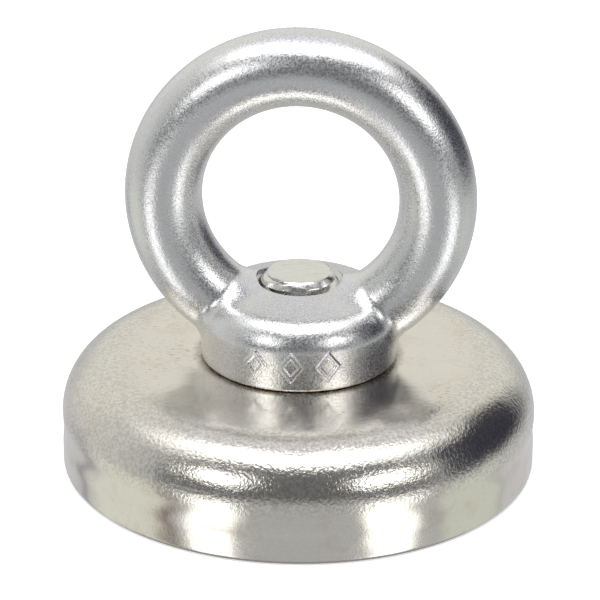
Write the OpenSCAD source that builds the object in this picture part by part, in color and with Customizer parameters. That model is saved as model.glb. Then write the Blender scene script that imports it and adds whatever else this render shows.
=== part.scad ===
// Fishing magnet: a steel pot with a ring magnet bonded inside, a countersunk socket screw
// up through both, and a cast eye nut screwed down onto the thread above the pot.
// Millimetres, +Z up. The origin is on the pot's axis at the level of its bottom rim,
// and the ring of the eye nut lies in the XZ plane.

/* [Pot] */
// Outer diameter of the pot
pot_d = 48; // [40:0.5:60]
// Height of the pot from its rim to its flat top
pot_h = 11.5; // [9.5:0.1:15]
// Radius of the drawn shoulder between the skirt and the top
shoulder_r = 5.8; // [3:0.1:7]
// Thickness of the steel round the magnet
pot_wall = 4.2; // [3:0.1:5.5]
// Thickness of the steel above the magnet
pot_floor = 4.9; // [3:0.1:6]
// Radius of the outer edge of the rim
rim_edge_r = 0.5; // [0.2:0.05:1]
// Height of the straight band above the rim
rim_band_h = 2.3; // [1:0.1:2.4]
// Depth of the shallow waist between that band and the shoulder
waist_depth = 0.1; // [0.05:0.01:0.2]

/* [Magnet] */
// How far the magnet's face stays back from the rim
magnet_recess = 0.3; // [0.1:0.05:1]
// Width of the resin ring between the magnet and the pot's wall
resin_w = 0.8; // [0.4:0.05:1.5]
// How far the resin stays back from the magnet's face
resin_recess = 0.15; // [0.05:0.05:0.5]
// Thickness of the adhesive film on the magnet's back
film_t = 0.15; // [0.05:0.05:0.4]
// Chamfer on the magnet's edges
magnet_chamfer = 0.3; // [0.1:0.05:0.5]

/* [Screw] */
// Nominal diameter of the screw's thread
screw_d = 8; // [6:1:10]
// Pitch of the thread
screw_pitch = 1.25; // [1:0.05:1.5]
// How far the screw's head stays back from the rim
head_recess = 0.5; // [0.3:0.05:1.5]
// Height of the straight band round the head's face
head_band = 0.2; // [0.1:0.05:0.5]
// Width of the hex socket across its flats
socket_w = 5; // [3:0.5:6]
// Depth of the hex socket
socket_depth = 3; // [2:0.1:4]
// Diameter of the flat on the screw's end
tip_flat_d = 6.3; // [5:0.1:7.5]
// Length of the chamfer on the screw's end
tip_chamfer_h = 1.2; // [0.6:0.1:1.8]
// How far the screw's end stands proud of the eye nut's hub
tip_proud = 0.9; // [0.3:0.1:3]

/* [Eye nut] */
// Outer diameter of the ring
eye_d = 35; // [30:0.5:45]
// Inner diameter of the ring
eye_hole_d = 19.6; // [16:0.2:24]
// How far the ring's inner edge dips below the mouth of the hub's hole
ring_sink = 1.1; // [0.5:0.1:3]
// Diameter of the hub
hub_d = 19.8; // [18:0.1:24]
// Height of the hub at the mouth of its hole
hub_h = 8.1; // [7:0.1:10]
// Slope of the hub's conical top, in degrees
hub_slope = 17; // [10:1:25]
// Radius between the hub's wall and its conical top
hub_shoulder_r = 2.2; // [1:0.1:3]
// Chamfer round the hub's seat
seat_chamfer = 0.3; // [0.1:0.05:0.6]

/* [Clearances] */
// Radial gap between the screw and the holes in the pot and magnet
shank_gap = 0.25; // [0.15:0.05:0.5]
// Radial gap between the thread's crests and the hub's hole
thread_gap = 0.05; // [0.03:0.01:0.1]
// Gap between the screw's conical head and its seat in the magnet
seat_gap = 0.05; // [0.03:0.01:0.1]

/* [Hidden] */
$fn = 128;
eps = 1;

pot_r = pot_d / 2;
cavity_r = pot_r - pot_wall;
cavity_h = pot_h - pot_floor;
skirt_h = pot_h - shoulder_r;
waist_half = (skirt_h - rim_band_h) / 2;
waist_cut_r = (pow(waist_half, 2) + pow(waist_depth, 2)) / (2 * waist_depth);

screw_r = screw_d / 2;
hole_r = screw_r + shank_gap;
head_r = screw_d;
head_h = head_r - screw_r;
cone_z = head_recess + head_band;
screw_top = pot_h + hub_h + tip_proud;
root_r = screw_r - 0.6134 * screw_pitch;
flank_h = (screw_r - root_r) * tan(30);
crest_h = screw_pitch / 8;
shank_end = cone_z + head_h + screw_pitch / 2;
thread_end = screw_top - tip_chamfer_h;
thread_turns = floor((thread_end - shank_end - crest_h - 2 * flank_h) / screw_pitch) + 1;

magnet_r = cavity_r - resin_w;
magnet_top = cavity_h - film_t;
// the seat is the head's own cone moved out by the gap, measured square to the cone
seat_r = head_r + seat_gap * sqrt(2);
seat_z = cone_z;

ring_r = (eye_d + eye_hole_d) / 4;
ring_tube_r = (eye_d - eye_hole_d) / 4;
ring_z = pot_h + hub_h - ring_sink + eye_hole_d / 2;
hub_r = hub_d / 2;
hub_hole_r = screw_r + thread_gap;
hub_corner_r = hub_r - hub_shoulder_r;
// the conical top is tangent to the shoulder's arc and reaches hub_h at the hole's mouth
hub_arc_x = hub_corner_r + hub_shoulder_r * sin(hub_slope);
hub_arc_z = pot_h + hub_h - (hub_arc_x - hub_hole_r) * tan(hub_slope);
hub_corner_z = hub_arc_z - hub_shoulder_r * cos(hub_slope);

// The screw's way through the magnet and the pot, with the conical seat of its head
module screw_way() {
    translate([0, 0, -eps]) cylinder(r = seat_r, h = seat_z + eps);
    translate([0, 0, seat_z]) cylinder(r1 = seat_r, r2 = hole_r, h = seat_r - hole_r);
    translate([0, 0, -eps]) cylinder(r = hole_r, h = pot_h + 2 * eps);
}

module pot_outline() {
    difference() {
        union() {
            square([pot_r - rim_edge_r, rim_edge_r * 2]);
            translate([pot_r - rim_edge_r, rim_edge_r]) circle(r = rim_edge_r);
            translate([0, rim_edge_r]) square([pot_r, skirt_h - rim_edge_r]);
            translate([pot_r - shoulder_r, skirt_h]) circle(r = shoulder_r);
            square([pot_r - shoulder_r, pot_h]);
        }
        translate([pot_r - waist_depth + waist_cut_r, rim_band_h + waist_half])
            circle(r = waist_cut_r, $fn = 512);
    }
}

module pot_shell() {
    color("silver")
    difference() {
        rotate_extrude() pot_outline();
        translate([0, 0, -eps]) cylinder(r = cavity_r, h = cavity_h + eps);
        screw_way();
    }
}

module ring_magnet() {
    color("gainsboro")
    difference() {
        rotate_extrude() polygon([
            [0, magnet_recess],
            [magnet_r - magnet_chamfer, magnet_recess],
            [magnet_r, magnet_recess + magnet_chamfer],
            [magnet_r, magnet_top - magnet_chamfer],
            [magnet_r - magnet_chamfer, magnet_top],
            [0, magnet_top]
        ]);
        screw_way();
    }
}

module bond_film() {
    color("tan")
    difference() {
        translate([0, 0, magnet_top]) cylinder(r = magnet_r, h = film_t);
        screw_way();
    }
}

module potting_ring() {
    resin_z = magnet_recess + resin_recess + magnet_chamfer;
    color("dimgray")
    translate([0, 0, resin_z])
    difference() {
        cylinder(r = cavity_r, h = cavity_h - resin_z);
        translate([0, 0, -eps]) cylinder(r = magnet_r, h = cavity_h - resin_z + 2 * eps);
    }
}

// Profile of the screw: head band, 45 degree cone, ridges at the pitch, chamfered end.
// The ridges are counted down from the chamfer, which cuts the last one at its crest.
module screw_profile() {
    ridges = [for (i = [thread_turns - 1:-1:1], p = [
        [root_r, -crest_h - flank_h],
        [screw_r, -crest_h],
        [screw_r, 0],
        [root_r, flank_h]
    ]) [p[0], thread_end - i * screw_pitch + p[1]]];
    polygon(concat(
        [
            [0, head_recess],
            [head_r, head_recess],
            [head_r, cone_z],
            [screw_r, cone_z + head_h],
            [screw_r, shank_end],
            [root_r, shank_end + flank_h]
        ],
        ridges,
        [
            [root_r, thread_end - crest_h - flank_h],
            [screw_r, thread_end - crest_h],
            [screw_r, thread_end],
            [tip_flat_d / 2, screw_top],
            [0, screw_top]
        ]
    ));
}

module countersunk_screw() {
    color("lightgray")
    difference() {
        rotate_extrude() screw_profile();
        translate([0, 0, head_recess - eps])
            cylinder(r = socket_w / 2 / cos(30), h = socket_depth + eps, $fn = 6);
        translate([0, 0, head_recess + socket_depth])
            cylinder(r1 = socket_w / 2, r2 = 0, h = socket_w / 2 * tan(30));
    }
}

module hub_outline() {
    top_z = pot_h + hub_h;
    polygon([
        [0, pot_h],
        [hub_r - seat_chamfer, pot_h],
        [hub_r, pot_h + seat_chamfer],
        [hub_r, hub_corner_z],
        [hub_corner_r, hub_corner_z],
        [hub_arc_x, hub_arc_z],
        [hub_hole_r, top_z],
        [0, top_z]
    ]);
    translate([hub_corner_r, hub_corner_z]) circle(r = hub_shoulder_r);
}

module eye_nut() {
    color("darkgray")
    difference() {
        union() {
            rotate_extrude() hub_outline();
            translate([0, 0, ring_z]) rotate([90, 0, 0])
                rotate_extrude() translate([ring_r, 0]) circle(r = ring_tube_r);
        }
        translate([-eye_d / 2, -eye_d / 2, pot_h - eye_d]) cube(eye_d);
        translate([0, 0, pot_h - eps]) cylinder(r = hub_hole_r, h = hub_h + 2 * eps);
    }
}

pot_shell();
ring_magnet();
bond_film();
potting_ring();
countersunk_screw();
eye_nut();
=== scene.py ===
"""Looks of the fishing magnet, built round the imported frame.

Sizes are in metres. MM turns the named sizes of the real piece into metres.
"""
import math

import bmesh
import bpy
import numpy as np
from mathutils import Matrix, Vector


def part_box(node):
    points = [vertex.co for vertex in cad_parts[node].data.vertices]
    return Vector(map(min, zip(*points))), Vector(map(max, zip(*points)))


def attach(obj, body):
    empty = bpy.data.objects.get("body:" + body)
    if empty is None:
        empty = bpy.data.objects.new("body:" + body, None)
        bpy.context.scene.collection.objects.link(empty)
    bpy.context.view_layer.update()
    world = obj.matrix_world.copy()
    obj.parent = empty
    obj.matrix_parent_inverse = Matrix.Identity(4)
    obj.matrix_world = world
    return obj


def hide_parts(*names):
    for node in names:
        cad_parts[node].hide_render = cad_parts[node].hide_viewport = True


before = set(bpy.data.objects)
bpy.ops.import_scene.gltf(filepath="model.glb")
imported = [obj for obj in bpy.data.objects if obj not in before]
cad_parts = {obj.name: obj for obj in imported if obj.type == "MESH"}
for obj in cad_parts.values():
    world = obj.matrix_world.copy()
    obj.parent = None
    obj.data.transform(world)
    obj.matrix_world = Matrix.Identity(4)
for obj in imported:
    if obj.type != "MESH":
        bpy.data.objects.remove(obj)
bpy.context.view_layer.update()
MM = 0.001


# ---------------------------------------------------------------- sizes, in mm
def corners_in_mm(node):
    """The low and the high corner of a CAD node's box."""
    return [np.array(corner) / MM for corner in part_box(node)]


pot_high = corners_in_mm("pot_shell")[1]
magnet_low, magnet_high = corners_in_mm("ring_magnet")
resin_low, resin_high = corners_in_mm("potting_ring")
screw_low, screw_high = corners_in_mm("countersunk_screw")
eye_high = corners_in_mm("eye_nut")[1]

POT_R, POT_H = pot_high[0], pot_high[2]
SHOULDER_R = 5.8
RIM_EDGE_R = 0.5
WAIST_DEPTH = 0.1
WAIST_BAND = 2.3
CAVITY_R = resin_high[0]
CAVITY_H = resin_high[2]
HOLE_R = 4.25

MAGNET_R, MAGNET_Z, MAGNET_TOP = magnet_high[0], magnet_low[2], magnet_high[2]
SEAT_GAP = 0.05

SCREW_R, SCREW_PITCH, SCREW_ROOT_R = 4.0, 1.25, 3.23
HEAD_R, HEAD_Z, HEAD_BAND = screw_high[0], screw_low[2], 0.2
SCREW_TOP = screw_high[2]
TIP_FLAT_R, TIP_CHAMFER = 3.15, 1.2
SOCKET_W, SOCKET_DEPTH = 5.0, 3.0

RING_OUT_R = eye_high[0]
RING_TUBE_R = 3.85
RING_R = RING_OUT_R - RING_TUBE_R
RING_Z = eye_high[2] - RING_OUT_R
HUB_R, HUB_H, HUB_SLOPE, HUB_SHOULDER_R = eye_high[1], 8.1, math.radians(17), 2.2
HUB_MOUTH_R = 4.05
HUB_TOP = POT_H + HUB_H
WALL_FILLET, CROWN_FILLET = 0.9, 1.5      # fillets of ring to hub, at the hub's wall and on its top
SEAT_EDGE_R = 0.45

MARK_H, MARK_W, MARK_GAP, MARK_STROKE, MARK_RELIEF = 3.2, 2.5, 3.7, 0.42, 0.14
MARK_Z = POT_H + 2.75

ROUND = 256          # columns of the large turned pieces
THREAD_ROUND = 96    # columns of the screw: a multiple of 6, so the hex corners fall on columns
MERGE_DIST = 0.002   # points closer than this, in mm, are one
FINE_GRID, COARSE_GRID = 0.11, 0.34       # grid of the casting, in mm, near the marks and elsewhere

CAMERA_AZIMUTH, CAMERA_ELEVATION, CAMERA_ROLL = 4.56, 23.4, 0.53


# ---------------------------------------------------------------- mesh helpers
def add_piece(name, verts, faces, body, node, material, sharp_deg=35):
    """A mesh object from points in mm, riding on a CAD body and standing for one CAD node."""
    mesh = bpy.data.meshes.new(name)
    mesh.from_pydata((np.asarray(verts) * MM).tolist(), [], faces)
    piece = bpy.data.objects.new(name, mesh)
    bpy.context.scene.collection.objects.link(piece)
    tidy_mesh(piece, sharp_deg)
    mesh.materials.append(material)
    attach(piece, body)
    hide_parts(node)
    return piece


def tidy_mesh(piece, sharp_deg):
    """Merges doubled points, turns every face outwards and marks the sharp edges."""
    bm = bmesh.new()
    bm.from_mesh(piece.data)
    bmesh.ops.remove_doubles(bm, verts=bm.verts, dist=MERGE_DIST * MM)
    bmesh.ops.dissolve_degenerate(bm, edges=bm.edges, dist=0.0005 * MM)
    bmesh.ops.recalc_face_normals(bm, faces=bm.faces)
    bm.to_mesh(piece.data)
    bm.free()
    piece.data.shade_smooth()
    piece.data.set_sharp_from_angle(angle=math.radians(sharp_deg))


def arc(centre, radius, start_deg, end_deg, steps):
    """Points (r, z) along an arc."""
    angles = np.radians(np.linspace(start_deg, end_deg, steps + 1))
    return [(centre[0] + radius * math.cos(a), centre[1] + radius * math.sin(a)) for a in angles]


def line(start, end, steps):
    """Points (r, z) along a straight line, without its first one."""
    return [tuple(np.array(start) + (np.array(end) - start) * i / steps) for i in range(1, steps + 1)]


def turned(profile, columns, closed):
    """Points and faces of rings round the Z axis. A ring is (radius or a radius for each column, z)."""
    angle = np.arange(columns) * 2 * math.pi / columns
    verts, faces = [], []
    for radius, z in profile:
        r = np.broadcast_to(radius, columns)
        verts.append(np.stack([r * np.cos(angle), r * np.sin(angle), np.full(columns, z)], 1))
    rings = len(profile)
    for i in range(rings if closed else rings - 1):
        low, high = i * columns, (i + 1) % rings * columns
        for j in range(columns):
            k = (j + 1) % columns
            faces.append((low + j, low + k, high + k, high + j))
    return np.concatenate(verts), faces


def joined(*parts):
    """Several (points, faces) as one."""
    verts, faces, start = [], [], 0
    for v, f in parts:
        verts.append(v)
        faces += [tuple(i + start for i in face) for face in f]
        start += len(v)
    return np.concatenate(verts), faces


# ---------------------------------------------------------------- pot, magnet, resin
def pot_profile():
    """Closed outline of the drawn cup: hole, flat top, shoulder, waisted skirt, rim, cavity."""
    skirt_top = POT_H - SHOULDER_R
    waist_half = (skirt_top - WAIST_BAND) / 2
    edge = 0.25
    outline = [(HOLE_R, CAVITY_H), (HOLE_R, POT_H - edge), (HOLE_R + edge, POT_H)]
    outline += line(outline[-1], (POT_R - SHOULDER_R, POT_H), 24)
    outline += arc((POT_R - SHOULDER_R, skirt_top), SHOULDER_R, 90, 0, 40)[1:]
    for i in range(1, 17):
        z = skirt_top - i / 16 * 2 * waist_half
        dip = WAIST_DEPTH * 0.5 * (1 - math.cos(i / 8 * math.pi))
        outline.append((POT_R - dip, z))
    outline += line(outline[-1], (POT_R, RIM_EDGE_R), 8)
    outline += arc((POT_R - RIM_EDGE_R, RIM_EDGE_R), RIM_EDGE_R, 0, -90, 8)[1:]
    outline += line(outline[-1], (CAVITY_R + edge, 0), 4)
    outline += [(CAVITY_R, edge), (CAVITY_R, CAVITY_H)]
    return outline


def magnet_profile():
    """Closed outline of the ring magnet with rounded edges and the screw's conical seat."""
    edge = 0.3
    seat_r = HEAD_R + SEAT_GAP * math.sqrt(2)
    seat_z = HEAD_Z + HEAD_BAND
    outline = [(HOLE_R, MAGNET_TOP), (HOLE_R, seat_z + seat_r - HOLE_R), (seat_r, seat_z)]
    outline += [(seat_r, MAGNET_Z + 0.08), (seat_r + 0.08, MAGNET_Z)]
    outline += line(outline[-1], (MAGNET_R - edge, MAGNET_Z), 12)
    outline += arc((MAGNET_R - edge, MAGNET_Z + edge), edge, -90, 0, 6)[1:]
    outline += arc((MAGNET_R - edge, MAGNET_TOP - edge), edge, 0, 90, 6)
    return outline


def resin_profile():
    """Closed outline of the cast resin ring, whose face sinks between the two walls."""
    low, high, sag = resin_low[2] - 0.1, resin_high[2], 0.22
    middle, half = (MAGNET_R + CAVITY_R) / 2, (CAVITY_R - MAGNET_R) / 2
    outline = [(MAGNET_R, high)]
    for i in range(13):
        t = i / 6 - 1
        outline.append((middle + half * t, low + sag * (1 - t * t)))
    return outline + [(CAVITY_R, high)]


# ---------------------------------------------------------------- screw
def thread_radius(angle, z, crest_r, root_r):
    """Radius of a right-hand ISO thread, with its corners a little rounded, at each angle and height."""
    turn = np.mod((z - HUB_TOP) / SCREW_PITCH - angle / (2 * math.pi), 1.0)
    flank = 1 - np.clip((np.abs(turn - 0.5) - 1 / 16) * 16 / 5, 0, 1)
    softened = flank * flank * (3 - 2 * flank)
    return root_r + (crest_r - root_r) * (0.8 * flank + 0.2 * softened)


def thread_tube(crest_r, root_r, low, high, least=None, most=None):
    """Points and faces of an open threaded tube. least and most limit the radius by height."""
    per_turn = 16
    rows = int(math.ceil((high - low) / SCREW_PITCH) + 2) * per_turn
    angle = np.arange(THREAD_ROUND) * 2 * math.pi / THREAD_ROUND
    first = HUB_TOP + math.floor((low - HUB_TOP) / SCREW_PITCH - 1) * SCREW_PITCH
    verts = []
    for a in angle:
        z = first + (a / (2 * math.pi) + np.arange(rows + 1) / per_turn) * SCREW_PITCH
        z = np.clip(z, low, high)
        r = thread_radius(a, z, crest_r, root_r)
        r = r if least is None else np.maximum(r, least(z))
        r = r if most is None else np.minimum(r, most(z))
        verts.append(np.stack([r * math.cos(a), r * math.sin(a), z], 1))
    faces = []
    for i in range(THREAD_ROUND):
        last = i == THREAD_ROUND - 1
        for j in range(rows - per_turn if last else rows):
            here = i * (rows + 1) + j
            beside = j + per_turn if last else (i + 1) * (rows + 1) + j
            faces.append((here, beside, beside + 1, here + 1))
    return np.concatenate(verts), faces


def hexagon(width, columns):
    """Radius of a hexagon of that width across its flats, for each column."""
    angle = np.arange(columns) * 360 / columns
    return width / 2 / np.cos(np.radians(np.mod(angle, 60) - 30))


def screw_parts():
    """Head with its hex socket, threaded shank and chamfered end."""
    cone_z = HEAD_Z + HEAD_BAND
    shank_z = cone_z + HEAD_R - SCREW_R
    thread_low = shank_z + 0.4
    end_z = SCREW_TOP - TIP_CHAMFER
    end_r = TIP_FLAT_R + 0.12
    cap_z = SCREW_TOP - 0.12

    def least(z):
        return SCREW_R - np.clip((z - thread_low) / SCREW_PITCH, 0, 1) * (SCREW_R - SCREW_ROOT_R)

    def most(z):
        t = np.clip((z - end_z) / (cap_z - end_z), 0, 1)
        return SCREW_R - (SCREW_R - end_r) * t ** 1.25

    tube = thread_tube(SCREW_R, SCREW_ROOT_R, thread_low, cap_z, least, most)
    cap = arc((TIP_FLAT_R - 0.1, cap_z - 0.1), 0.22, 25, 90, 5)
    cap = [(end_r, cap_z)] + cap[1:] + [(r, SCREW_TOP) for r in (2.2, 1.1, 0.0)]
    mouth = hexagon(SOCKET_W, THREAD_ROUND)
    deep = HEAD_Z + SOCKET_DEPTH
    drill_tip = deep + SOCKET_W / 2 * math.tan(math.radians(30))
    head = [(SCREW_R, thread_low), (SCREW_R, shank_z + 0.15), (SCREW_R + 0.12, shank_z)]
    head += line(head[-1], (HEAD_R - 0.05, cone_z + 0.05), 12)
    head += [(HEAD_R, cone_z), (HEAD_R, HEAD_Z + 0.1)]
    head += [(HEAD_R - 0.03, HEAD_Z + 0.03), (HEAD_R - 0.1, HEAD_Z)]
    head += line(head[-1], (SOCKET_W * 0.72, HEAD_Z), 6)
    head += [(mouth * 1.07, HEAD_Z), (mouth * 1.02, HEAD_Z + 0.06), (mouth, HEAD_Z + 0.2)]
    head += [(mouth, deep - 0.05), (mouth * 0.98, deep), (0.0, drill_tip)]
    return joined(tube, turned(cap, THREAD_ROUND, False), turned(head, THREAD_ROUND, False))


# ---------------------------------------------------------------- eye nut
def round_union(a, b, radius):
    """Union of two distances with a fillet between them."""
    blended = np.hypot(np.maximum(radius - a, 0), np.maximum(radius - b, 0))
    return np.maximum(radius, np.minimum(a, b)) - blended


def round_common(a, b, radius):
    """Intersection of two distances with a rounded edge."""
    return -round_union(-a, -b, radius)


def smooth_step(value, low, high):
    """0 at low, 1 at high, with a smooth step between."""
    t = np.clip((value - low) / (high - low), 0, 1)
    return t * t * (3 - 2 * t)


def mark_relief(x, y, z):
    """Height of the three raised casting marks, plain lozenge outlines round the hub's front."""
    along = HUB_R * np.arctan2(x, -y)
    across = z - MARK_Z
    nearest = np.round(np.clip(along / MARK_GAP, -1, 1)) * MARK_GAP
    u, v = np.abs(along - nearest) / (MARK_W / 2), np.abs(across) / (MARK_H / 2)
    steep = math.hypot(2 / MARK_W, 2 / MARK_H)
    edge = np.abs((u + v - 1) / steep + MARK_STROKE / 2) - MARK_STROKE / 2
    on = smooth_step(edge, 0.08, -0.08)
    return MARK_RELIEF * on * (np.hypot(x, y) > HUB_R - 1)


def eye_distance(p):
    """Signed distance of the casting in mm: ring and hub with a fillet, ended just under the seat."""
    x, y, z = p
    ring = np.hypot(np.hypot(x, z - RING_Z) - RING_R, y) - RING_TUBE_R
    radius = np.hypot(x, y)
    cone = (z - HUB_TOP + (radius - HUB_MOUTH_R) * math.tan(HUB_SLOPE)) * math.cos(HUB_SLOPE)
    hub = round_common(radius - HUB_R, cone, HUB_SHOULDER_R) - mark_relief(x, y, z)
    fillet = WALL_FILLET + (CROWN_FILLET - WALL_FILLET) * smooth_step(radius, HUB_R - 0.5, HUB_R - 4)
    return np.maximum(round_union(ring, hub, fillet), POT_H - 0.5 - z)


def spaced(stretches):
    """Grid lines along one axis: (end, step) stretches that follow each other from the first end."""
    lines = [stretches[0][0]]
    for end, step in stretches[1:]:
        count = max(1, round((end - lines[-1]) / step))
        lines += list(np.linspace(lines[-1], end, count + 1)[1:])
    return np.array(lines)


def surface_net(distance, xs, ys, zs):
    """Points and faces of the zero surface of a distance on a grid, drawn onto it and evened out."""
    grid = np.meshgrid(xs, ys, zs, indexing="ij")
    value = distance(grid)
    inside = value < 0
    size = np.array(value.shape) - 1
    total = np.zeros(size, np.int8)
    corners = [(i, j, k) for i in (0, 1) for j in (0, 1) for k in (0, 1)]

    def corner(field, c):
        return field[c[0]:c[0] + size[0], c[1]:c[1] + size[1], c[2]:c[2] + size[2]]

    for c in corners:
        total += corner(inside, c)
    active = (total > 0) & (total < 8)
    index = np.full(size, -1)
    index[active] = np.arange(active.sum())
    points = np.zeros((3, active.sum()))
    crossings = np.zeros(active.sum())
    for a in corners:
        for axis in range(3):
            if a[axis]:
                continue
            b = tuple(1 if i == axis else a[i] for i in range(3))
            va, vb = corner(value, a)[active], corner(value, b)[active]
            cross = (va < 0) != (vb < 0)
            t = np.where(cross, va / np.where(cross, va - vb, 1), 0)
            for i in range(3):
                pa, pb = corner(grid[i], a)[active], corner(grid[i], b)[active]
                points[i] += np.where(cross, pa + (pb - pa) * t, 0)
            crossings += cross
    points /= crossings
    faces = []
    for axis in range(3):
        near = [slice(None)] * 3
        far = [slice(None)] * 3
        near[axis], far[axis] = slice(0, -1), slice(1, None)
        change = inside[tuple(near)] != inside[tuple(far)]
        at = np.argwhere(change)
        others = [i for i in range(3) if i != axis]
        fits = np.all([(at[:, i] > 0) & (at[:, i] < size[i]) for i in others], axis=0)
        at = at[fits]
        ring = []
        for step in ((0, 0), (1, 0), (1, 1), (0, 1)):
            cell = at.copy()
            for i, s in zip(others, step):
                cell[:, i] -= s
            ring.append(index[tuple(cell.T)])
        faces.append(np.stack(ring, 1))
    faces = np.concatenate(faces)
    return evened(distance, points, faces), faces


def gradient(distance, points, step=0.01):
    """Gradient of a distance by central differences."""
    slopes = []
    for axis in range(3):
        shift = np.zeros((3, 1))
        shift[axis] = step
        slopes.append((distance(points + shift) - distance(points - shift)) / (2 * step))
    return np.array(slopes)


def evened(distance, points, faces, passes=6):
    """Moves points along the surface towards their neighbours' middle, and back onto it."""
    pairs = np.concatenate([faces[:, [i, (i + 1) % 4]] for i in range(4)])
    pairs = np.concatenate([pairs, pairs[:, ::-1]])
    count = np.bincount(pairs[:, 0], minlength=points.shape[1])
    for _ in range(passes):
        mean = np.array([np.bincount(pairs[:, 0], points[i, pairs[:, 1]], points.shape[1]) / count
                         for i in range(3)])
        slope = gradient(distance, points)
        slope /= np.linalg.norm(slope, axis=0)
        move = mean - points
        points = points + 0.6 * (move - slope * (move * slope).sum(0))
        for _ in range(2):
            slope = gradient(distance, points)
            points = points - distance(points) * slope / (slope ** 2).sum(0)
    return points


def exact_normals(mesh, distance):
    """Gives the faces that lie on a distance's surface its own normals. Cut faces keep theirs."""
    points = np.empty(len(mesh.vertices) * 3)
    mesh.vertices.foreach_get("co", points)
    points = points.reshape(-1, 3).T / MM
    slope = gradient(distance, points, 0.004)
    slope /= np.linalg.norm(slope, axis=0)
    on_surface = np.abs(distance(points)) < 0.02
    corner = np.empty(len(mesh.loops), int)
    mesh.loops.foreach_get("vertex_index", corner)
    start = np.empty(len(mesh.polygons), int)
    mesh.polygons.foreach_get("loop_start", start)
    normal = np.empty(len(mesh.loops) * 3)
    mesh.corner_normals.foreach_get("vector", normal)
    normal = normal.reshape(-1, 3)
    flat = np.empty(len(mesh.polygons) * 3)
    mesh.polygons.foreach_get("normal", flat)
    count = np.diff(np.append(start, len(corner)))
    exact = slope.T[corner]
    agrees = (exact * np.repeat(flat.reshape(-1, 3), count, axis=0)).sum(1) > 0.75
    good = np.minimum.reduceat((agrees & on_surface[corner]).astype(int), start) > 0
    normal = np.where(np.repeat(good, count)[:, None], exact, normal)
    mesh.normals_split_custom_set(normal.tolist())


def solid(name, verts, faces):
    """A plain closed mesh object in metres, to cut with."""
    mesh = bpy.data.meshes.new(name)
    mesh.from_pydata((np.asarray(verts) * MM).tolist(), [], faces)
    cutter = bpy.data.objects.new(name, mesh)
    bpy.context.scene.collection.objects.link(cutter)
    tidy_mesh(cutter, 35)
    return cutter


def seat_envelope():
    """A solid that holds the eye nut down to its seat, with the small round of the seat's edge."""
    edge = arc((HUB_R - SEAT_EDGE_R, POT_H + SEAT_EDGE_R), SEAT_EDGE_R, -90, -12, 6)
    wide = RING_OUT_R + 3
    tall = RING_Z + wide
    outline = [(0.0, POT_H), (4.6, POT_H)] + edge + [(wide, edge[-1][1] + 2), (wide, tall), (0.0, tall)]
    return turned(outline, ROUND, False)


def thread_cutter():
    """What is cut out of the hub: the nut's thread, with a countersunk mouth at each end."""
    gap = HUB_MOUTH_R - SCREW_R
    crest, root = SCREW_R + gap, SCREW_ROOT_R + gap + 0.05
    low, high = POT_H - 1, HUB_TOP + 1.6

    def least(z):
        seat = crest + 0.3 - np.maximum(z - POT_H, 0)
        mouth = crest + 0.3 - np.maximum(HUB_TOP - z, 0)
        return np.maximum(seat, mouth)

    tube = thread_tube(crest, root, low, high, least)
    ends = []
    for z in (low, high):
        r = float(least(np.array(z)))
        ends.append(turned([(r, z), (0.0, z)], THREAD_ROUND, False))
    return joined(tube, *ends)


def cut(piece, cutter, operation):
    """Applies a boolean to the piece and removes the cutter."""
    boolean = piece.modifiers.new("cut", "BOOLEAN")
    boolean.operation = operation
    boolean.solver = "MANIFOLD"
    boolean.object = cutter
    depsgraph = bpy.context.evaluated_depsgraph_get()
    result = bpy.data.meshes.new_from_object(piece.evaluated_get(depsgraph))
    piece.modifiers.clear()
    if len(result.vertices) in (0, len(piece.data.vertices)):
        raise RuntimeError(f"{cutter.name} doesn't cut {piece.name}")
    piece.data = result
    bpy.data.objects.remove(cutter)


# ---------------------------------------------------------------- node helpers
class Nodes:
    """Short ways to add shader nodes to one tree."""

    def __init__(self, tree):
        self.tree = tree
        tree.nodes.clear()

    def add(self, kind, inputs=(), **settings):
        node = self.tree.nodes.new(kind)
        for name, value in settings.items():
            setattr(node, name, value)
        for name, value in dict(inputs).items():
            self.put(node.inputs[name], value)
        return node

    def put(self, socket, value):
        """A socket takes a value or a link."""
        if isinstance(value, bpy.types.NodeSocket):
            self.tree.links.new(value, socket)
        else:
            socket.default_value = value

    def math(self, operation, *values, clamp=False):
        return self.add("ShaderNodeMath", enumerate(values), operation=operation,
                        use_clamp=clamp).outputs[0]

    def vector(self, operation, *values):
        return self.add("ShaderNodeVectorMath", enumerate(values), operation=operation)

    def ramp(self, value, low, high, to_low=0.0, to_high=1.0):
        """A smooth step from to_low at low up to to_high at high."""
        inputs = {"Value": value, "From Min": low, "From Max": high, "To Min": to_low, "To Max": to_high}
        return self.add("ShaderNodeMapRange", inputs, interpolation_type="SMOOTHSTEP").outputs[0]

    def noise(self, point, scale, detail=2.0, roughness=0.5, distortion=0.0):
        inputs = {"Vector": point, "Scale": scale, "Detail": detail, "Roughness": roughness,
                  "Distortion": distortion}
        return self.add("ShaderNodeTexNoise", inputs).outputs[0]

    def mix(self, factor, a, b):
        node = self.add("ShaderNodeMix", data_type="RGBA")
        for socket, value in zip((node.inputs[0], node.inputs[6], node.inputs[7]), (factor, a, b)):
            self.put(socket, value)
        return node.outputs[2]

    def bump(self, height, distance, strength=1.0, normal=None):
        inputs = {"Height": height, "Distance": distance, "Strength": strength}
        if normal is not None:
            inputs["Normal"] = normal
        return self.add("ShaderNodeBump", inputs).outputs[0]


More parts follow.
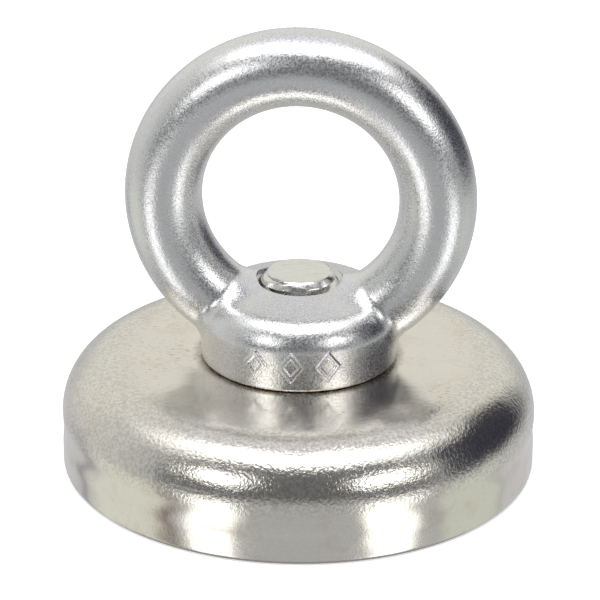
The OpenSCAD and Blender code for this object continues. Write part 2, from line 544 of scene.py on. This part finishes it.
def new_material(name, colour, roughness, metallic=1.0):
    """A material with a Principled shader, its node helper and a point in mm."""
    material = bpy.data.materials.new(name)
    material.use_nodes = True
    n = Nodes(material.node_tree)
    shader = n.add("ShaderNodeBsdfPrincipled",
                   {"Base Color": colour, "Roughness": roughness, "Metallic": metallic})
    out = n.add("ShaderNodeOutputMaterial")
    n.put(out.inputs["Surface"], shader.outputs[0])
    coords = n.add("ShaderNodeTexCoord").outputs["Object"]
    point = n.vector("SCALE", coords).outputs[0]
    point.node.inputs["Scale"].default_value = 1 / MM
    return material, n, shader, point


def radius_and_height(n, point):
    """Distance from the Z axis and height of a point in mm."""
    x, y, z = n.add("ShaderNodeSeparateXYZ", {0: point}).outputs
    radius = n.math("SQRT", n.math("ADD", n.math("MULTIPLY", x, x), n.math("MULTIPLY", y, y)))
    return radius, z


# ---------------------------------------------------------------- materials
def pot_material():
    """Nickel on drawn steel: a fine grain, strongest on the shoulder, rusty specks, painted contact
    shade round the hub's foot.
    """
    plain = (0.77, 0.74, 0.67, 1)
    material, n, shader, point = new_material("nickel_plate", plain, 0.14)
    radius, z = radius_and_height(n, point)
    top = n.ramp(z, POT_H - 0.4, POT_H - 0.02)
    flat = n.math("MULTIPLY", top, n.ramp(radius, 18.8, 17.2))
    bulge = n.math("MULTIPLY", n.ramp(z, 4.6, 6.4), n.ramp(radius, 16.5, 19.0))
    grain = n.noise(point, 3.2, 2.5, 0.6)
    fine = n.noise(point, 8.0, 2.0, 0.6)
    swell = n.noise(point, 0.16, 1.0)
    drawn = n.vector("MULTIPLY", point, (0.6, 2.6, 1.0)).outputs[0]
    ripple = n.noise(drawn, 1.1, 2.0, 0.5)
    height = n.math("MULTIPLY", grain, n.math("MULTIPLY_ADD", bulge, 0.9, 0.15))
    height = n.math("ADD", height, n.math("MULTIPLY", ripple, n.math("MULTIPLY", flat, 0.3)))
    height = n.math("ADD", height, n.math("MULTIPLY", fine, 0.10))
    normal = n.bump(swell, 0.2 * MM)
    normal = n.bump(height, 0.038 * MM, 1.0, normal)
    n.put(shader.inputs["Normal"], normal)
    area = n.ramp(n.noise(point, 0.11, 2.0), 0.36, 0.54)
    speck = n.math("MULTIPLY", n.ramp(n.noise(drawn, 2.0, 5.0, 0.75), 0.54, 0.64), area)
    speck = n.math("MULTIPLY", speck, flat)
    stain = n.ramp(n.noise(point, 0.35, 4.0, 0.65), 0.50, 0.66)
    # Painted shade: a brownish dark ring on the flat top round the hub's foot, where the eye nut sits on
    # the pot.
    painted_foot_shade = n.math("MULTIPLY", n.ramp(radius, 10.9, 9.8), n.ramp(radius, 8.9, 9.5))
    painted_foot_shade = n.math("MULTIPLY", painted_foot_shade, top)
    painted_foot_shade = n.math("MULTIPLY", painted_foot_shade, n.ramp(n.noise(point, 0.9, 3.0), 0.25, 0.7, 0.5, 0.9))
    colour = n.mix(n.math("MULTIPLY", stain, 0.3), plain, (0.62, 0.56, 0.44, 1))
    # Partly the pits' own tone, partly painted shade: the colour darkens in the hollows of the grain's
    # bump, most on the shoulder.
    hollow_tone_and_shade = n.math("MULTIPLY", n.ramp(grain, 0.62, 0.36), n.math("MULTIPLY_ADD", bulge, 0.45, 0.08))
    colour = n.mix(hollow_tone_and_shade, colour, (0.45, 0.44, 0.42, 1))
    colour = n.mix(n.math("MULTIPLY", speck, 0.7), colour, (0.36, 0.24, 0.13, 1))
    colour = n.mix(n.math("MULTIPLY", painted_foot_shade, 0.9), colour, (0.20, 0.155, 0.105, 1))
    n.put(shader.inputs["Base Color"], colour)
    rough = n.ramp(fine, 0.3, 0.8, 0.13, 0.24)
    n.put(shader.inputs["Roughness"], n.math("ADD", rough, n.math("MULTIPLY", speck, 0.3)))
    return material


def cast_material():
    """Tumbled cast stainless steel: burnished smooth, with a fine grain that sparkles and a grain tone
    with painted micro-shade in its hollows.
    """
    material, n, shader, point = new_material("cast_stainless", (0.73, 0.725, 0.715, 1), 0.26)
    grain = n.noise(point, 5.2, 2.0, 0.6)
    dimple = n.noise(point, 1.2, 2.0, 0.5)
    normal = n.bump(dimple, 0.02 * MM)
    normal = n.bump(grain, 0.024 * MM, 1.0, normal)
    n.put(shader.inputs["Normal"], normal)
    # Grain tone, partly painted micro-shade: the colour is darker where the grain's bump is low.
    n.put(shader.inputs["Base Color"], n.mix(n.ramp(grain, 0.34, 0.66), (0.685, 0.685, 0.685, 1),
                                             (0.80, 0.795, 0.79, 1)))
    n.put(shader.inputs["Roughness"], n.ramp(grain, 0.36, 0.64, 0.22, 0.36))
    return material


def screw_material():
    """Nickel on the machined screw, with handling marks."""
    material, n, shader, point = new_material("screw_nickel", (0.74, 0.73, 0.69, 1), 0.18)
    marks = n.noise(point, 1.4, 5.0, 0.65)
    scuff = n.noise(n.vector("MULTIPLY", point, (0.7, 3.0, 1.0)).outputs[0], 1.3, 3.0, 0.6)
    n.put(shader.inputs["Normal"], n.bump(n.math("ADD", marks, scuff), 0.022 * MM))
    n.put(shader.inputs["Roughness"], n.ramp(marks, 0.3, 0.7, 0.12, 0.28))
    n.put(shader.inputs["Base Color"], n.mix(n.ramp(scuff, 0.5, 0.75, 0.0, 0.6), (0.76, 0.75, 0.71, 1),
                                             (0.58, 0.57, 0.52, 1)))
    return material


def magnet_material():
    """Satin nickel on the pressed magnet."""
    material, n, shader, point = new_material("magnet_nickel", (0.70, 0.69, 0.67, 1), 0.25)
    grain = n.noise(point, 6.0, 3.0, 0.6)
    cloud = n.noise(point, 0.3, 3.0, 0.55)
    n.put(shader.inputs["Normal"], n.bump(grain, 0.02 * MM))
    n.put(shader.inputs["Roughness"], n.ramp(cloud, 0.35, 0.65, 0.20, 0.34))
    return material


def resin_material():
    """Black potting epoxy."""
    material, n, shader, point = new_material("potting_epoxy", (0.018, 0.018, 0.02, 1), 0.22, 0.0)
    wave = n.noise(point, 0.9, 2.0)
    n.put(shader.inputs["Normal"], n.bump(wave, 0.15 * MM))
    n.put(shader.inputs["Roughness"], n.ramp(wave, 0.3, 0.7, 0.16, 0.34))
    return material


def film_material():
    """Cured amber adhesive."""
    material, n, shader, point = new_material("adhesive_film", (0.5, 0.38, 0.18, 1), 0.4, 0.0)
    cloud = n.noise(point, 0.6, 2.0)
    n.put(shader.inputs["Base Color"], n.mix(cloud, (0.42, 0.30, 0.13, 1), (0.60, 0.48, 0.26, 1)))
    return material


# ---------------------------------------------------------------- pieces
def build_pot():
    verts, faces = turned(pot_profile(), ROUND, True)
    add_piece("pot", verts, faces, "pot", "pot_shell", pot_material())


def build_magnet():
    verts, faces = turned(magnet_profile(), ROUND, True)
    add_piece("magnet_ring", verts, faces, "pot", "ring_magnet",
              magnet_material())


def build_resin():
    verts, faces = turned(resin_profile(), ROUND, True)
    add_piece("resin_ring", verts, faces, "pot", "potting_ring",
              resin_material())


def build_screw():
    verts, faces = screw_parts()
    piece = add_piece("socket_screw", verts, faces, "screw", "countersunk_screw",
                      screw_material(), sharp_deg=40)
    tilt_edge(piece)


def tilt_edge(piece):
    """The end's flat falls away a little beyond a chord, as the cut-off tool left it."""
    across, start, slope = Vector((math.cos(0.31), math.sin(0.31), 0)), 2.34 * MM, 0.1
    bm = bmesh.new()
    bm.from_mesh(piece.data)
    end = [v for v in bm.verts if v.co.z > (SCREW_TOP - 0.02) * MM]
    at_end = set(end)
    faces = [f for f in bm.faces if all(v in at_end for v in f.verts)]
    edges = list({e for f in faces for e in f.edges})
    made = bmesh.ops.bisect_plane(bm, geom=end + edges + faces, dist=0.001 * MM,
                                  plane_co=across * start, plane_no=across)
    for item in made["geom_cut"]:
        if isinstance(item, bmesh.types.BMEdge):
            item.smooth = False
    for v in bm.verts:
        beyond = v.co.dot(across) - start
        if beyond > 0 and v.co.z > (SCREW_TOP - 0.13) * MM:
            v.co.z -= slope * beyond
    bm.to_mesh(piece.data)
    bm.free()


def build_eye():
    reach, deep = RING_OUT_R + 0.7, HUB_R + 0.7
    marks = 5.2
    xs = spaced([(-reach, 0), (-marks, COARSE_GRID), (marks, FINE_GRID), (reach, COARSE_GRID)])
    ys = spaced([(-deep, 0), (-8.0, FINE_GRID), (deep, COARSE_GRID)])
    zs = spaced([(POT_H - 0.9, 0), (POT_H + 0.9, 0.3), (POT_H + 4.6, FINE_GRID),
                 (eye_high[2] + 0.5, COARSE_GRID)])
    points, faces = surface_net(eye_distance, xs, ys, zs)
    piece = solid("eye_nut_casting", points.T, faces.tolist())
    cut(piece, solid("envelope", *seat_envelope()), "INTERSECT")
    cut(piece, solid("thread", *thread_cutter()), "DIFFERENCE")
    piece.data.shade_smooth()
    piece.data.set_sharp_from_angle(angle=math.radians(40))
    exact_normals(piece.data, eye_distance)
    piece.data.materials.clear()
    piece.data.materials.append(cast_material())
    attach(piece, "eye")
    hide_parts("eye_nut")


# ---------------------------------------------------------------- studio
def make_camera():
    """A long lens from the front, a little to the right of the ring's normal and above it."""
    azimuth, elevation, roll = map(math.radians, (CAMERA_AZIMUTH, CAMERA_ELEVATION, CAMERA_ROLL))
    distance, target = 0.2997, Vector((0.05 * MM, 0, 17.26 * MM))
    direction = Vector((math.sin(azimuth) * math.cos(elevation),
                        -math.cos(azimuth) * math.cos(elevation), math.sin(elevation)))
    data = bpy.data.cameras.new("camera")
    data.sensor_width = 36
    data.lens = 178.9
    data.clip_start, data.clip_end = 0.01, 50
    camera = bpy.data.objects.new("camera", data)
    bpy.context.scene.collection.objects.link(camera)
    camera.location = target + direction * distance
    turn = direction.to_track_quat("Z", "Y").to_matrix().to_4x4()
    camera.rotation_euler = (turn @ Matrix.Rotation(roll, 4, "Z")).to_euler()
    bpy.context.scene.camera = camera


def make_world():
    """Soft panels round the object, placed from the camera's side: patches with soft edges.

    The floor isn't seen in reflections, so the panels below the horizon stand for it.
    """
    world = bpy.data.worlds.new("studio")
    bpy.context.scene.world = world
    world.use_nodes = True
    n = Nodes(world.node_tree)
    ray = n.add("ShaderNodeTexCoord").outputs["Generated"]
    split = n.add("ShaderNodeSeparateXYZ", {0: ray})
    x, y, z = split.outputs
    azimuth = n.math("DEGREES", n.math("ARCTAN2", x, n.math("MULTIPLY", y, -1.0)))
    elevation = n.math("DEGREES", n.math("ARCSINE", z))
    colour = (0.60, 0.61, 0.61, 1)
    panels = [
        # azimuth from and to, elevation from and to, softness in degrees, colour
        (-200, 200, -120, -14, 20, (0.50, 0.51, 0.52, 1)),
        (-118, -66, -40, -14, 6, (0.82, 0.84, 0.78, 1)),
        (74, 112, -40, -14, 6, (0.70, 0.73, 0.68, 1)),
        (118, 242, -120, -14, 6, (0.66, 0.66, 0.69, 1)),
        (-200, 200, -120, -50, 12, (0.32, 0.32, 0.34, 1)),
        (-131, -126, -40, -14, 3, (0.20, 0.20, 0.22, 1)),
        (-150, -92, -12, 44, 14, (0.74, 0.74, 0.73, 1)),
        (125, 235, 6, 50, 14, (0.86, 0.86, 0.82, 1)),
        (115, 245, 53, 90, 10, (0.84, 0.84, 0.89, 1)),
        (-66, 66, -8, 55, 10, (0.165, 0.17, 0.18, 1)),
        (74, 138, -9, 42, 12, (0.05, 0.05, 0.07, 1)),
        (-52, -28, 14, 35, 8, (3.2, 3.2, 3.2, 1)),
        (31, 57, 13, 32, 8, (3.2, 3.2, 3.2, 1)),
        (-54, -31, -44, -16, 5, (2.0, 2.0, 2.0, 1)),
        (35, 58, -44, -16, 5, (2.0, 2.0, 2.0, 1)),
        (-68, -62, -36, -14, 4, (0.16, 0.09, 0.08, 1)),
        (-120, -55, 47, 63, 12, (1.5, 1.5, 1.5, 1)),
        (55, 115, 48, 63, 12, (1.5, 1.5, 1.5, 1)),
        (-95, 95, 61, 80, 7, (4.4, 4.4, 4.6, 1)),
    ]
    for az0, az1, el0, el1, soft, tint in panels:
        across = n.math("SUBTRACT", azimuth, (az0 + az1) / 2 + CAMERA_AZIMUTH)
        across = n.math("ABSOLUTE", n.math("WRAP", across, 180.0, -180.0))
        mask = n.ramp(across, (az1 - az0) / 2 + soft / 2, (az1 - az0) / 2 - soft / 2)
        mask = n.math("MULTIPLY", mask, n.ramp(elevation, el0 - soft / 2, el0 + soft / 2))
        mask = n.math("MULTIPLY", mask, n.ramp(elevation, el1 + soft / 2, el1 - soft / 2))
        colour = n.mix(mask, colour, tint)
    background = n.add("ShaderNodeBackground", {"Color": colour, "Strength": 1.0})
    out = n.add("ShaderNodeOutputWorld")
    n.put(out.inputs["Surface"], background.outputs[0])


def make_floor():
    """A plain pale floor. Reflections in the metal don't see it, as on a glass table."""
    half = 3.0
    mesh = bpy.data.meshes.new("floor")
    low = -0.02 * MM
    mesh.from_pydata([(-half, -half, low), (half, -half, low), (half, half, low), (-half, half, low)],
                     [], [(0, 1, 2, 3)])
    floor = bpy.data.objects.new("floor", mesh)
    bpy.context.scene.collection.objects.link(floor)
    material = bpy.data.materials.new("pale_floor")
    material.use_nodes = True
    n = Nodes(material.node_tree)
    shader = n.add("ShaderNodeBsdfPrincipled", {"Base Color": (0.85, 0.85, 0.85, 1), "Roughness": 0.9,
                                                "Emission Color": (1, 1, 1, 1),
                                                "Emission Strength": 0.45})
    out = n.add("ShaderNodeOutputMaterial")
    n.put(out.inputs["Surface"], shader.outputs[0])
    mesh.materials.append(material)
    floor.visible_glossy = False


make_camera()
make_world()
make_floor()
build_pot()
build_magnet()
build_resin()
build_screw()
build_eye()
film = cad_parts["bond_film"]
film.data.materials.clear()
film.data.materials.append(film_material())

bpy.context.scene.view_settings.view_transform = "Standard"
bpy.context.view_layer.update()
